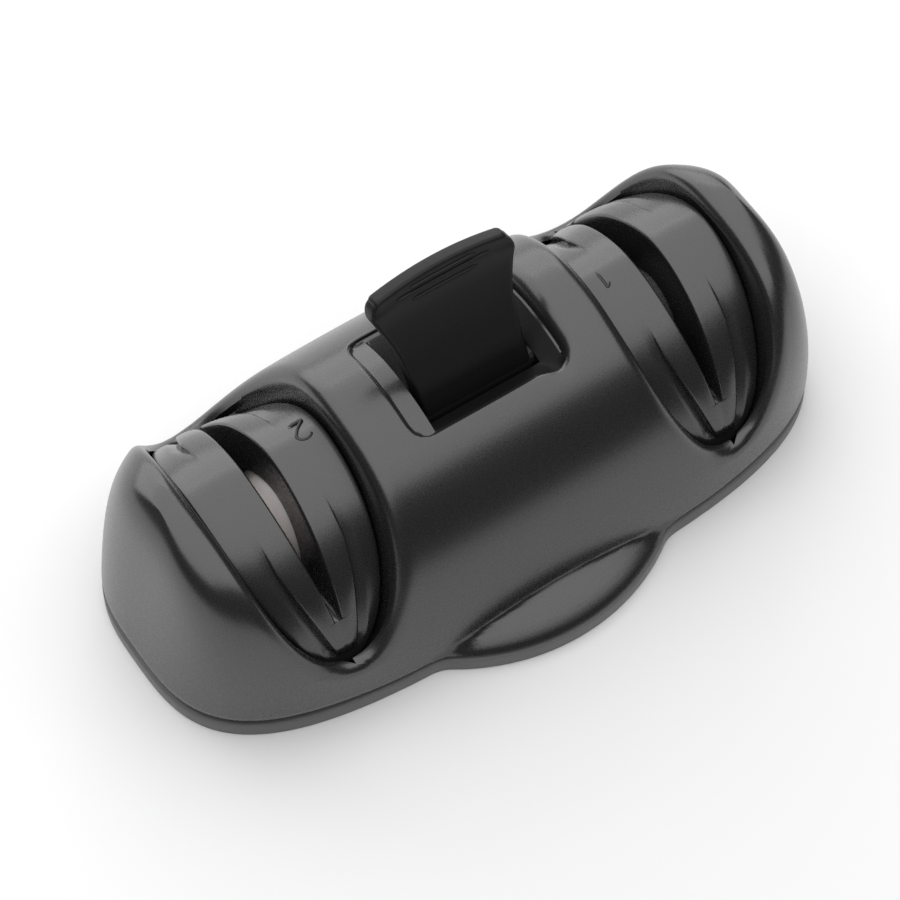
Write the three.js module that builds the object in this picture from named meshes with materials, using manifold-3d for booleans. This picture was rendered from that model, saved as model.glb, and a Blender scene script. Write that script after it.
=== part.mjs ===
// Rolling knife sharpener with two stations and a suction foot.
// Millimetres, +Z up, +X along the length, -Y is the front; origin on the table under the middle.
import * as THREE from 'three';
import { mergeVertices } from 'three/addons/utils/BufferGeometryUtils.js';
import Module from 'manifold-3d';

const wasm = await Module();
wasm.setup();

// General fits
const FIT = 0.3;              // gap left between two pieces that meet
const WALL = 2.2;             // moulded wall
const ROUND = 14;             // facets of a round hole or pin

// Body envelope
const LENGTH = 130;
const HALF_DEPTH = 31.2;      // body half depth, without the round foot
const PLAN_POWER = 3.4;       // squareness of the plan outline at the table
const ARCH_POWER = 2.1;       // squareness of the barrel's arch section
const INSERT_POWER = 1.85;    // the inserts lean back more, so the valley deepens towards the front
const BARREL_TOP = 41.5;
const CAP_TOP = 39.6;
const CAP_POWER = 2.6;        // the caps' section is squarer than the barrel's
const CAP_PLAN_POWER = 4.2;   // and so is their plan at the crown
const CAP_BLEND = 22;         // length over which the section squares up
const CAP_LEAN = 8;           // end wall leans in this far at the crown
const LEAN_POWER = 1.5;
const FOOT_R = 38.6;          // round foot over the suction cup
const SKIRT_TOP = 15;         // the foot's flare meets the arch here
const SKIRT_NECK = 28.6;
const STRIP_H = 3.5;          // grey strip of the base plate
const STRIP_INSET = 0.7;

// Stations
const STATION_X = 0.293 * LENGTH;
const MOUTH_HALF = 12.8;      // half width of the horseshoe mouth in the shell
const MOUTH_LOW = 7.3;        // where the sides of the horseshoe would meet
const MOUTH_SHOULDER = 25;    // height where its sides become straight
const MOUTH_POWER = 1.3;      // roundness of its lower end
const MOUTH_TIP = 0.15;       // rounding of its tip, as a share of its half width
const BARREL_HALF = STATION_X - MOUTH_HALF; // half length of the raised middle
const BAND_TOP = 36.2;
const BAND_HALF_DEPTH = 27.2;
const LIP_TOP = 37;
const LIP_HALF_DEPTH = 27.9;
const LIP_WIDE = 8.5;         // half width of the lips at the crown
const LIP_NARROW = 2.6;       // and where they meet at the front
const SLOT_HALF = 2.5;        // half width of the knife slot at the crown
const SLOT_LOW_HALF = 1;
const SLOT_FLOOR = 19.8;
const TROUGH_WALL = 2;
const TAB_HALF = 6;           // foot of the insert trapped behind the shell wall

// Sharpening wheels
const WHEEL_R = 10.5;
const WHEEL_Z = 15.5;
const WHEEL_ROOT_R = 4.6;     // cone root, the bottom of the V
const WHEEL_ROOT_GAP = 0.35;  // half gap between the two roots
const WHEEL_RIM_GAP = 2.6;    // half gap between the two rims
const WHEEL_OUT = 5.8;        // outer face from the slot plane
const AXLE_R = 2;
const CHEEK_IN = WHEEL_OUT + 2 * FIT;
const CHEEK_T = 2.6;
const CARRIER_FLOOR = 2;
const CARRIER_HALF_Y = 16.4;
const CARRIER_SCREW_Y = 13;
const POST_H = 2;             // base posts that carry the carriers
const WHEEL_CHAMFER = 0.6;
const CHEEK_FOOT = 10;        // half length of a cheek on the floor
const CHEEK_CROWN = 4.4;      // its half length and height round the axle

// Suction foot
const CUP_R = 33.2;
const CUP_EDGE = 1;
const CUP_PLAY = 0.8;         // room round the cup's rim in its pocket
const CUP_CHAMFER = 0.4;
const CUP_SHOULDER_R = 10;
const CUP_SHOULDER_Z = 3.5;
const CUP_HUB_R = 6;
const CUP_HUB_Z = 6;
const LIFT = 3;
const STEM_R = 4;
const CLEVIS_FLOOR = 16;
const CLEVIS_SLOT = 4;
const CLEVIS_T = 2.6;
const CLEVIS_HALF_Y = 3.4;
const STEM_PIN_R = 1.5;
const CLEVIS_CROWN = 0.8;     // clevis above its pin hole

// Lever
const PIVOT_Y = -5.2;
const PIVOT_Z = 34.2;
const LEVER_PIN_R = 1.8;
const LEVER_TURN = 42 * Math.PI / 180;
const HUB_R = 4.6;
const HUB_HALF = 10.4;
const SIDE_PLAY = 0.4;        // between the cam and each clevis cheek
const HUB_PLAY = 0.8;         // between the hub and each side of its slot
const CAM_HALF = CLEVIS_SLOT - SIDE_PLAY;
const CAM_REACH = 10.5;       // stem pin under the pivot with the lever raised
const CAM_RIM = 2.2;
const CAM_LEAD = 0.42;        // cam plate past the slot's ends, in radians
const CAM_TAIL = 0.55;
const TRAY_HALF = 14.9;
const TRAY_FRONT = -11.8;
const TRAY_BACK = 10.4;
const TRAY_FLOOR = 37.5;
const TRAY_CORNER = 3;
const LEVER_SLOT_BACK = 6.2;
const RIB_T = 2.4;            // ribs under the tray that hold the lever pin
const RIB_DROP = 5;           // rib below the pin
const RIB_HALF = 4;           // half length of the rib's lower edge
const RIB_DRAFT = 1;
// Lever blade from hub to tip: centre y, centre z, thickness, half width
const BLADE = [
  [-5.0, 33.6, 5.4, 10.4], [-4.3, 36.6, 4.8, 10.4], [-3.0, 40.5, 3.8, 10.6],
  [-0.7, 46.2, 3.0, 11.6], [1.2, 51.4, 2.8, 13.4], [2.2, 55.2, 3.0, 14.3], [2.9, 57.8, 2.6, 13.0],
];

// Screws
const SCREW_R = 1.3;
const SCREW_HEAD_R = 3;
const SCREW_HEAD_H = 1.4;
const SCREW_SINK = 2;         // counterbore depth in the base plate
const BOSS_R = 3.2;
const BASE_SCREW_X = STATION_X + MOUTH_HALF + WALL + 2; // its boss grows out of the cap wall
const BASE_SCREW_Y = 13;
const BASE_BOSS_TOP = 16;
const CARRIER_BOSS_TOP = 14;
const PILOT_CAP = 1.4;        // boss left closed above its pilot hole
const TIP_GAP = 1;            // pilot hole left free above the screw
const CROSS_LONG = 2;         // cross recess, half sizes and depth
const CROSS_WIDE = 0.45;
const CROSS_DEEP = 0.8;

// Derived levels
const SHELL_Z = STRIP_H + FIT;
const MOUTH_BOTTOM = mouthZ(0, MOUTH_LOW);
const HALF_LENGTH = LENGTH / 2;
const POCKET_R = CUP_R + CUP_PLAY;
const TALL = BARREL_TOP + 30; // height used for cutters that pass out of the top
const DEEP = FOOT_R + 10;     // depth used for cutters that pass right through

const group = new THREE.Group();
group.name = 'rolling_knife_sharpener';

// Solids
function solid(geometry) {
  geometry.deleteAttribute('normal');
  if (geometry.attributes.uv) geometry.deleteAttribute('uv');
  const welded = mergeVertices(geometry, 1e-4);
  const p = welded.attributes.position.array;
  const tris = [];
  let volume = 0;
  for (let i = 0; i < welded.index.count; i += 3) {
    const [a, b, c] = [0, 1, 2].map((k) => welded.index.getX(i + k));
    if (a === b || b === c || a === c) continue;
    tris.push(a, b, c);
    const [A, B, C] = [a, b, c].map((v) => new THREE.Vector3().fromArray(p, 3 * v));
    volume += A.dot(B.cross(C));
  }
  if (volume < 0) tris.reverse();
  return new wasm.Manifold(new wasm.Mesh({
    numProp: 3, vertProperties: new Float32Array(p), triVerts: new Uint32Array(tris),
  }));
}

function join(...parts) {
  return parts.reduce((sum, part) => sum.add(part));
}

function cut(body, ...tools) {
  return tools.reduce((rest, tool) => rest.subtract(tool), body);
}

function polygon(points) {
  return new THREE.Shape(points.map(([a, b]) => new THREE.Vector2(a, b)));
}

// Outline in X,Z pushed along Y, equally to both sides of y
function alongY(shape, half, y = 0) {
  const g = new THREE.ExtrudeGeometry(shape, { depth: 2 * half, bevelEnabled: false, curveSegments: 8 });
  return solid(g.rotateX(Math.PI / 2).translate(0, y + half, 0));
}

// Outline in Y,Z pushed along X, equally to both sides of x
function alongX(shape, half, x = 0) {
  const g = new THREE.ExtrudeGeometry(shape, { depth: 2 * half, bevelEnabled: false, curveSegments: 8 });
  const turn = new THREE.Matrix4().makeBasis(
    new THREE.Vector3(0, 1, 0), new THREE.Vector3(0, 0, 1), new THREE.Vector3(1, 0, 0));
  return solid(g.applyMatrix4(turn).translate(x - half, 0, 0));
}

// Outline in X,Y pushed up from z0 to z1
function alongZ(shape, z0, z1) {
  const g = new THREE.ExtrudeGeometry(shape, { depth: z1 - z0, bevelEnabled: false, curveSegments: 4 });
  return solid(g.translate(0, 0, z0));
}

function box(x0, x1, y0, y1, z0, z1) {
  const g = new THREE.BoxGeometry(x1 - x0, y1 - y0, z1 - z0);
  return solid(g.translate((x0 + x1) / 2, (y0 + y1) / 2, (z0 + z1) / 2));
}

function pinX(r, half, x, y, z) {
  const g = new THREE.CylinderGeometry(r, r, 2 * half, ROUND);
  return solid(g.rotateZ(-Math.PI / 2).translate(x, y, z));
}

function pinZ(r, z0, z1, x = 0, y = 0) {
  const g = new THREE.CylinderGeometry(r, r, z1 - z0, ROUND);
  return solid(g.rotateX(Math.PI / 2).translate(x, y, (z0 + z1) / 2));
}

// Profile of [radius, height] turned about Z
function turned(profile, segments = 40) {
  const g = new THREE.LatheGeometry(profile.map(([r, z]) => new THREE.Vector2(r, z)), segments);
  return solid(g.rotateX(Math.PI / 2));
}

function add(name, body, color, roughness = 0.5, metalness = 0) {
  const m = body.getMesh();
  const g = new THREE.BufferGeometry();
  g.setAttribute('position', new THREE.BufferAttribute(new Float32Array(m.vertProperties), 3));
  g.setIndex(new THREE.BufferAttribute(new Uint32Array(m.triVerts), 1));
  g.computeVertexNormals();
  const mesh = new THREE.Mesh(g, new THREE.MeshStandardMaterial({ color, roughness, metalness }));
  mesh.name = name;
  group.add(mesh);
}

// Body surface: an arch over the barrel that squares up in the caps, whose end walls lean in towards the crown
function rowEnd(rise, inset) {
  return HALF_LENGTH - inset - CAP_LEAN * rise ** LEAN_POWER;
}

function bodyPoint(x, turn, inset, z0) {
  const cap = THREE.MathUtils.smoothstep(Math.abs(x), BARREL_HALF, BARREL_HALF + CAP_BLEND);
  const power = THREE.MathUtils.lerp(ARCH_POWER, CAP_POWER, cap);
  const top = THREE.MathUtils.lerp(BARREL_TOP, CAP_TOP, cap) - inset;
  const [across, rise] = archPoint(turn, 1, 0, 1, power);
  const square = THREE.MathUtils.lerp(PLAN_POWER, CAP_PLAN_POWER, rise);
  const run = Math.min(Math.abs(x) / rowEnd(rise, inset), 1);
  const y = (HALF_DEPTH - inset) * across * (1 - run ** square) ** (1 / square);
  return [x, y, z0 + (top - z0) * rise];
}

function archPoint(k, halfDepth, z0, z1, power = INSERT_POWER) {
  const turn = Math.PI * k;
  const squash = (v) => Math.sign(v) * Math.abs(v) ** (2 / power);
  return [halfDepth * squash(Math.cos(turn)), z0 + (z1 - z0) * squash(Math.max(Math.sin(turn), 0))];
}

// Level rows of the body, each run out to its own end, skinned into one closed solid
function bodyLoft(inset, z0) {
  const rim = STATION_X + MOUTH_HALF;
  const steps = 20;
  const outs = 7;
  const ring = steps + 1;
  const rows = [];
  for (let k = 0; k < ring; k += 1) {
    const end = rowEnd(archPoint(k / steps, 1, 0, 1, CAP_POWER)[1], inset);
    const half = [0, BARREL_HALF / 2, BARREL_HALF, STATION_X, rim];
    for (let i = 1; i <= outs; i += 1) half.push(rim + (end - rim) * Math.sin(i / outs * Math.PI / 2));
    rows.push([...half.slice(1).reverse().map((x) => -x), ...half]);
  }
  const columns = rows[0].length;
  const points = [];
  for (let i = 0; i < columns; i += 1) {
    for (let k = 0; k < ring; k += 1) points.push(...bodyPoint(rows[k][i], k / steps, inset, z0));
  }
  const faces = [];
  for (let i = 0; i + 1 < columns; i += 1) {
    for (let k = 0; k < ring; k += 1) {
      const a = i * ring + k;
      const b = i * ring + (k + 1) % ring;
      faces.push(a, b, b + ring, a, b + ring, a + ring);
    }
  }
  const g = new THREE.BufferGeometry();
  g.setAttribute('position', new THREE.Float32BufferAttribute(points, 3));
  g.setIndex(faces);
  return solid(g);
}

function footFlare(inset, z0) {
  const profile = [[0, z0]];
  const steps = 8;
  for (let k = 0; k <= steps; k += 1) {
    const t = k / steps;
    const r = SKIRT_NECK + (FOOT_R - SKIRT_NECK) * (1 - t) ** 2.2;
    profile.push([r - inset, k ? SHELL_Z + (SKIRT_TOP - SHELL_Z) * t : z0]);
  }
  profile.push([0, SKIRT_TOP]);
  return turned(profile, 40);
}

function planOutline(inset, z0, z1) {
  const points = [];
  const steps = 56;
  for (let k = 0; k < steps; k += 1) {
    const a = 2 * Math.PI * k / steps;
    const round = (v) => Math.sign(v) * Math.abs(v) ** (2 / PLAN_POWER);
    points.push([(HALF_LENGTH - inset) * round(Math.cos(a)), (HALF_DEPTH - inset) * round(Math.sin(a))]);
  }
  return join(alongZ(polygon(points), z0, z1), pinZ(FOOT_R - inset, z0, z1));
}

// Horseshoe outline of a station mouth: height of its edge at u, from -1 to 1 across
function mouthZ(u, low) {
  const across = Math.sqrt(u * u * (1 - MOUTH_TIP ** 2) + MOUTH_TIP ** 2);
  return MOUTH_SHOULDER - (MOUTH_SHOULDER - low) * Math.max(1 - across ** MOUTH_POWER, 0) ** (1 / MOUTH_POWER);
}

function mouth(x, inset) {
  const half = MOUTH_HALF - inset;
  const steps = 24;
  const s = [[x - half, TALL]];
  for (let k = 0; k <= steps; k += 1) {
    const u = Math.cos(Math.PI * k / steps);
    s.push([x - half * u, mouthZ(u, MOUTH_LOW + inset)]);
  }
  s.push([x + half, TALL]);
  return alongY(polygon(s), DEEP);
}

// Arch pushed along X, standing on z0
function arch(x, half, halfDepth, top, z0) {
  const steps = 18;
  const points = [];
  for (let k = 0; k <= steps; k += 1) points.push(archPoint(k / steps, halfDepth, z0, top));
  return alongX(polygon(points), half, x);
}

// Wedge along Y, narrow below: half widths at two heights
function wedge(x, low, lowHalf, high, highHalf, topZ) {
  const slope = (highHalf - lowHalf) / (high - low);
  const top = lowHalf + slope * (topZ - low);
  return alongY(polygon([[x - lowHalf, low], [x + lowHalf, low], [x + top, topZ], [x - top, topZ]]), DEEP);
}

// Upper shell
function roundedRect(x0, x1, y0, y1, r) {
  const s = new THREE.Shape();
  s.moveTo(x0 + r, y0);
  s.lineTo(x1 - r, y0).absarc(x1 - r, y0 + r, r, -Math.PI / 2, 0);
  s.lineTo(x1, y1 - r).absarc(x1 - r, y1 - r, r, 0, Math.PI / 2);
  s.lineTo(x0 + r, y1).absarc(x0 + r, y1 - r, r, Math.PI / 2, Math.PI);
  s.lineTo(x0, y0 + r).absarc(x0 + r, y0 + r, r, Math.PI, 1.5 * Math.PI);
  return s;
}

function upperShell() {
  const outer = join(bodyLoft(0, SHELL_Z), footFlare(0, SHELL_Z));
  const barrelIn = BARREL_HALF - WALL;
  const stationIn = STATION_X - MOUTH_HALF + WALL;
  const stationOut = STATION_X + MOUTH_HALF - WALL;
  const capIn = STATION_X + MOUTH_HALF + WALL;
  const under = SHELL_Z - 1;
  const lowRoom = MOUTH_BOTTOM + 1;
  const rooms = join(
    box(-barrelIn, barrelIn, -DEEP, DEEP, under, TALL),
    ...[-1, 1].flatMap((s) => [[stationIn, stationOut], [capIn, HALF_LENGTH]].map(([a, b]) => box(
      Math.min(s * a, s * b), Math.max(s * a, s * b), -DEEP, DEEP, under, TALL))),
    box(-HALF_LENGTH, HALF_LENGTH, -DEEP, DEEP, under, lowRoom),
  );
  const trayBlock = alongZ(roundedRect(-TRAY_HALF - WALL, TRAY_HALF + WALL, TRAY_FRONT - WALL,
    TRAY_BACK + WALL, TRAY_CORNER + WALL), TRAY_FLOOR - WALL, TALL);
  const hollow = join(bodyLoft(WALL, under), footFlare(WALL, under)).intersect(rooms).subtract(trayBlock);
  const tray = alongZ(roundedRect(-TRAY_HALF, TRAY_HALF, TRAY_FRONT, TRAY_BACK, TRAY_CORNER), TRAY_FLOOR, TALL);
  const slotHalf = HUB_HALF + HUB_PLAY;
  const leverSlot = alongZ(roundedRect(-slotHalf, slotHalf, PIVOT_Y - HUB_R - 0.6, LEVER_SLOT_BACK, 1),
    PIVOT_Z - 10, TALL);
  const ribX = slotHalf + RIB_T / 2;
  const ribs = [-1, 1].map((s) => alongX(polygon([
    [PIVOT_Y - RIB_HALF - RIB_DRAFT, TRAY_FLOOR - WALL / 2], [PIVOT_Y - RIB_HALF, PIVOT_Z - RIB_DROP],
    [PIVOT_Y + RIB_HALF, PIVOT_Z - RIB_DROP], [PIVOT_Y + RIB_HALF + RIB_DRAFT, TRAY_FLOOR - WALL / 2]]), RIB_T / 2, s * ribX));
  const bosses = corners(BASE_SCREW_X, BASE_SCREW_Y).map(([x, y]) => pinZ(BOSS_R, SHELL_Z, BASE_BOSS_TOP, x, y));
  const pilots = corners(BASE_SCREW_X, BASE_SCREW_Y).map(([x, y]) => pinZ(
    SCREW_R + FIT, under, BASE_BOSS_TOP - PILOT_CAP, x, y));
  return cut(join(cut(outer, hollow, tray, leverSlot), ...ribs, ...bosses),
    ...pilots, mouth(-STATION_X, 0), mouth(STATION_X, 0),
    pinX(LEVER_PIN_R + FIT, ribX + RIB_T, 0, PIVOT_Y, PIVOT_Z));
}

function corners(x, y) {
  return [[-x, -y], [-x, y], [x, -y], [x, y]];
}

// Station insert: recessed band, raised lips, V trough for the blade, wheel well
function insert(x) {
  const half = MOUTH_HALF - FIT;
  const z0 = SHELL_Z;
  const band = arch(x, half, BAND_HALF_DEPTH, BAND_TOP, z0)
    .subtract(arch(x, half + 1, BAND_HALF_DEPTH - WALL, BAND_TOP - WALL, z0 - 1))
    .intersect(mouth(x, FIT));
  const lipArch = arch(x, half, LIP_HALF_DEPTH, LIP_TOP, z0);
  const lips = wedge(x, MOUTH_BOTTOM + FIT, LIP_NARROW, BAND_TOP, LIP_WIDE, TALL).intersect(
    lipArch.subtract(arch(x, half + 1, BAND_HALF_DEPTH - WALL, BAND_TOP - WALL, z0 - 1)))
    .intersect(mouth(x, FIT));
  const trough = wedge(x, SLOT_FLOOR - TROUGH_WALL, SLOT_LOW_HALF + TROUGH_WALL, LIP_TOP,
    SLOT_HALF + TROUGH_WALL, TALL).intersect(lipArch);
  const tabTop = MOUTH_BOTTOM + WALL + FIT;
  const tabs = box(x - TAB_HALF, x + TAB_HALF, -DEEP, DEEP, SHELL_Z, tabTop)
    .intersect(bodyLoft(WALL + FIT, SHELL_Z - 1))
    .subtract(box(x - TAB_HALF - 1, x + TAB_HALF + 1, WALL - BAND_HALF_DEPTH, BAND_HALF_DEPTH - WALL, 0, TALL));
  const slot = wedge(x, SLOT_FLOOR, SLOT_LOW_HALF, LIP_TOP, SLOT_HALF, TALL);
  const well = pinX(WHEEL_R + 2 * FIT, WHEEL_OUT + 2 * FIT, x, 0, WHEEL_Z);
  return cut(join(band, lips, trough, tabs), slot, well);
}

// Conical wheel about X; side is -1 or +1 from the slot plane
function wheel(x, side) {
  const bore = AXLE_R + FIT;
  const profile = [
    [bore, WHEEL_ROOT_GAP], [WHEEL_ROOT_R, WHEEL_ROOT_GAP], [WHEEL_R, WHEEL_RIM_GAP],
    [WHEEL_R, WHEEL_OUT - WHEEL_CHAMFER], [WHEEL_R - WHEEL_CHAMFER, WHEEL_OUT], [bore, WHEEL_OUT], [bore, WHEEL_ROOT_GAP],
  ].map(([r, a]) => new THREE.Vector2(r, side * a));
  const g = new THREE.LatheGeometry(profile, 24);
  return solid(g.rotateZ(-Math.PI / 2).translate(x, 0, WHEEL_Z));
}

// Cradle with two cheeks for the axle, screwed to two posts of the base plate
function carrier(x) {
  const floorZ = STRIP_H + POST_H + FIT;
  const outside = CHEEK_IN + CHEEK_T;
  const floor = box(x - outside, x + outside, -CARRIER_HALF_Y, CARRIER_HALF_Y, floorZ, floorZ + CARRIER_FLOOR);
  const cheeks = [-1, 1].map((s) => alongX(polygon([
    [-CHEEK_FOOT, floorZ], [CHEEK_FOOT, floorZ], [CHEEK_CROWN, WHEEL_Z + CHEEK_CROWN],
    [-CHEEK_CROWN, WHEEL_Z + CHEEK_CROWN]]), CHEEK_T / 2,
  x + s * (CHEEK_IN + CHEEK_T / 2)));
  const bosses = [-1, 1].map((s) => pinZ(BOSS_R, floorZ, CARRIER_BOSS_TOP, x, s * CARRIER_SCREW_Y));
  const pilots = [-1, 1].map((s) => pinZ(
    SCREW_R + FIT, floorZ - 1, CARRIER_BOSS_TOP - PILOT_CAP, x, s * CARRIER_SCREW_Y));
  const well = pinX(WHEEL_R + 2 * FIT, WHEEL_OUT + FIT, x, 0, WHEEL_Z);
  const bore = pinX(AXLE_R + FIT, outside + 1, x, 0, WHEEL_Z);
  return cut(join(floor, ...cheeks, ...bosses), well, bore, ...pilots);
}

// Cross recess screw driven upwards from the underside
function screw(x, y, top) {
  const headZ = SCREW_SINK - FIT - SCREW_HEAD_H;
  const recess = [[CROSS_LONG, CROSS_WIDE], [CROSS_WIDE, CROSS_LONG]].map(([a, b]) => box(
    x - a, x + a, y - b, y + b, headZ - 1, headZ + CROSS_DEEP));
  return cut(join(pinZ(SCREW_HEAD_R, headZ, headZ + SCREW_HEAD_H, x, y),
    pinZ(SCREW_R, headZ + SCREW_HEAD_H - 0.1, top, x, y)), ...recess);
}

// Base plate: grey strip, posts, domed web over the cup with a guide for the stem
const SCREWS = [
  ...corners(BASE_SCREW_X, BASE_SCREW_Y).map(([x, y]) => ['base', x, y, BASE_BOSS_TOP - PILOT_CAP - TIP_GAP]),
  ...corners(STATION_X, CARRIER_SCREW_Y).map(([x, y]) => ['carrier', x, y, CARRIER_BOSS_TOP - PILOT_CAP - TIP_GAP]),
];

function cupRoof(r) {
  const grown = (CUP_HUB_Z + LIFT) / CUP_HUB_Z;
  const t = (CUP_R - r) / (CUP_R - CUP_SHOULDER_R);
  return grown * (CUP_EDGE + (CUP_SHOULDER_Z - CUP_EDGE) * t) + 2 * FIT;
}

function basePlate() {
  const shoulderR = CUP_SHOULDER_R + 1;
  const hubR = CUP_HUB_R + 1;
  const hubTop = CUP_HUB_Z + LIFT + 2 * FIT;
  const roof = [[POCKET_R, cupRoof(CUP_R)], [shoulderR, cupRoof(CUP_SHOULDER_R)], [hubR, hubTop]];
  const pocket = turned([[0, -1], [POCKET_R, -1], ...roof, [0, hubTop]]);
  const dome = turned([[0, STRIP_H - 1], [POCKET_R, STRIP_H - 1], ...roof.map(([r, z]) => [r, z + WALL]),
    [0, hubTop + WALL]]);
  const posts = corners(STATION_X, CARRIER_SCREW_Y).map(([x, y]) => pinZ(
    BOSS_R, STRIP_H - 1, STRIP_H + POST_H, x, y));
  const holes = SCREWS.flatMap(([, x, y]) => [
    pinZ(SCREW_HEAD_R + FIT, -1, SCREW_SINK, x, y), pinZ(SCREW_R + FIT, -1, TALL, x, y)]);
  return cut(join(planOutline(STRIP_INSET, 0, STRIP_H), dome, ...posts), pocket,
    pinZ(STEM_R + FIT, 0, TALL), ...holes);
}

// Suction cup and its stem
function suctionCup() {
  return turned([[0, 0], [CUP_R - CUP_CHAMFER, 0], [CUP_R, CUP_CHAMFER], [CUP_R, CUP_EDGE], [CUP_SHOULDER_R, CUP_SHOULDER_Z],
    [CUP_HUB_R, CUP_HUB_Z - 1], [CUP_HUB_R - 1, CUP_HUB_Z], [0, CUP_HUB_Z]]);
}

function cupStem() {
  const foot = CUP_HUB_Z + FIT;
  const collar = CUP_HUB_Z + LIFT + 2 * FIT + WALL + 2 * FIT;
  const top = PIVOT_Z - CAM_REACH + STEM_PIN_R + FIT + CLEVIS_CROWN;
  const wide = CLEVIS_SLOT + CLEVIS_T;
  const clevis = box(-wide, wide, PIVOT_Y - CLEVIS_HALF_Y, PIVOT_Y + CLEVIS_HALF_Y, collar, top);
  const slot = box(-CLEVIS_SLOT, CLEVIS_SLOT, -DEEP, DEEP, CLEVIS_FLOOR, TALL);
  const web = box(-wide, wide, PIVOT_Y - CLEVIS_HALF_Y, STEM_R, collar, CLEVIS_FLOOR - 0.5);
  return cut(join(pinZ(STEM_R, foot, collar + 0.5), clevis, web), slot,
    pinX(STEM_PIN_R + FIT, wide + 1, 0, PIVOT_Y, PIVOT_Z - CAM_REACH));
}

// Lever with a spiral slot that draws the stem pin straight up as it folds back
function camArc(offset, from, to) {
  const points = [];
  const steps = 14;
  for (let k = 0; k <= steps; k += 1) {
    const a = from + (to - from) * k / steps;
    const r = CAM_REACH - LIFT * a / LEVER_TURN + offset;
    points.push([PIVOT_Y + r * Math.sin(a), PIVOT_Z - r * Math.cos(a)]);
  }
  return points;
}

function lever() {
  const slotHalf = STEM_PIN_R + FIT;
  const lead = slotHalf / CAM_REACH;
  const tail = slotHalf / (CAM_REACH - LIFT);
  const plate = [[PIVOT_Y, PIVOT_Z], ...camArc(slotHalf + CAM_RIM, -CAM_LEAD, LEVER_TURN + CAM_TAIL)];
  const slot = [...camArc(slotHalf, -lead, LEVER_TURN + tail),
    ...camArc(-slotHalf, -lead, LEVER_TURN + tail).reverse()];
  const body = join(blade(), pinX(HUB_R, HUB_HALF, 0, PIVOT_Y, PIVOT_Z), alongX(polygon(plate), CAM_HALF));
  return cut(body, alongX(polygon(slot), CAM_HALF + 1), pinX(LEVER_PIN_R + FIT, HUB_HALF + 1, 0, PIVOT_Y, PIVOT_Z));
}

function blade() {
  const curve = new THREE.CatmullRomCurve3(BLADE.map(([y, z, t]) => new THREE.Vector3(y, z, t)));
  const widths = new THREE.CatmullRomCurve3(BLADE.map(([y, z, , b]) => new THREE.Vector3(y, z, b)));
  const steps = 14;
  const points = [];
  for (let k = 0; k <= steps; k += 1) {
    const c = curve.getPoint(k / steps);
    const along = curve.getTangent(k / steps).setZ(0).normalize();
    const wide = widths.getPoint(k / steps).z;
    const [ny, nz] = [along.y * c.z / 2, -along.x * c.z / 2];
    points.push(-wide, c.x - ny, c.y - nz, wide, c.x - ny, c.y - nz);
    points.push(wide, c.x + ny, c.y + nz, -wide, c.x + ny, c.y + nz);
  }
  const faces = [0, 1, 2, 0, 2, 3];
  for (let i = 0; i < steps; i += 1) {
    for (let k = 0; k < 4; k += 1) {
      const a = 4 * i + k;
      const b = 4 * i + (k + 1) % 4;
      faces.push(a, b + 4, b, a, a + 4, b + 4);
    }
  }
  const end = 4 * steps;
  faces.push(end, end + 2, end + 1, end, end + 3, end + 2);
  const g = new THREE.BufferGeometry();
  g.setAttribute('position', new THREE.Float32BufferAttribute(points, 3));
  g.setIndex(faces);
  return solid(g);
}

// Assembly
const BLACK = 0x2a2b2d;
const STEEL = 0xb9bcc0;
add('upper_shell', upperShell(), BLACK, 0.4);
add('base_plate', basePlate(), 0x5d5f62, 0.6);
add('suction_cup', suctionCup(), 0x202123, 0.8);
add('cup_stem', cupStem(), 0x3a3b3d, 0.5);
add('stem_pin', pinX(STEM_PIN_R, CLEVIS_SLOT + CLEVIS_T, 0, PIVOT_Y, PIVOT_Z - CAM_REACH), STEEL, 0.3, 1);
add('lever', lever(), 0x18191a, 0.6);
add('lever_pin', pinX(LEVER_PIN_R, HUB_HALF + HUB_PLAY + RIB_T, 0, PIVOT_Y, PIVOT_Z), STEEL, 0.3, 1);
for (const [name, x, color] of [['coarse', STATION_X, 0x8d8f92], ['fine', -STATION_X, 0xf1ece6]]) {
  add(`${name}_insert`, insert(x), 0x333436, 0.45);
  add(`${name}_carrier`, carrier(x), 0x3a3b3d, 0.6);
  add(`${name}_axle`, pinX(AXLE_R, CHEEK_IN + CHEEK_T, x, 0, WHEEL_Z), STEEL, 0.3, 1);
  add(`${name}_wheel_left`, wheel(x, -1), color, 0.7);
  add(`${name}_wheel_right`, wheel(x, 1), color, 0.7);
}
SCREWS.forEach(([kind, x, y, top]) => {
  add(`${kind}_screw_${y < 0 ? 'front' : 'back'}_${x < 0 ? 'left' : 'right'}`, screw(x, y, top), STEEL, 0.35, 1);
});

export default group;
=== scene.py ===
import bmesh
import bpy
import numpy as np
from mathutils import Matrix, Vector
from mathutils.geometry import delaunay_2d_cdt


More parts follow.
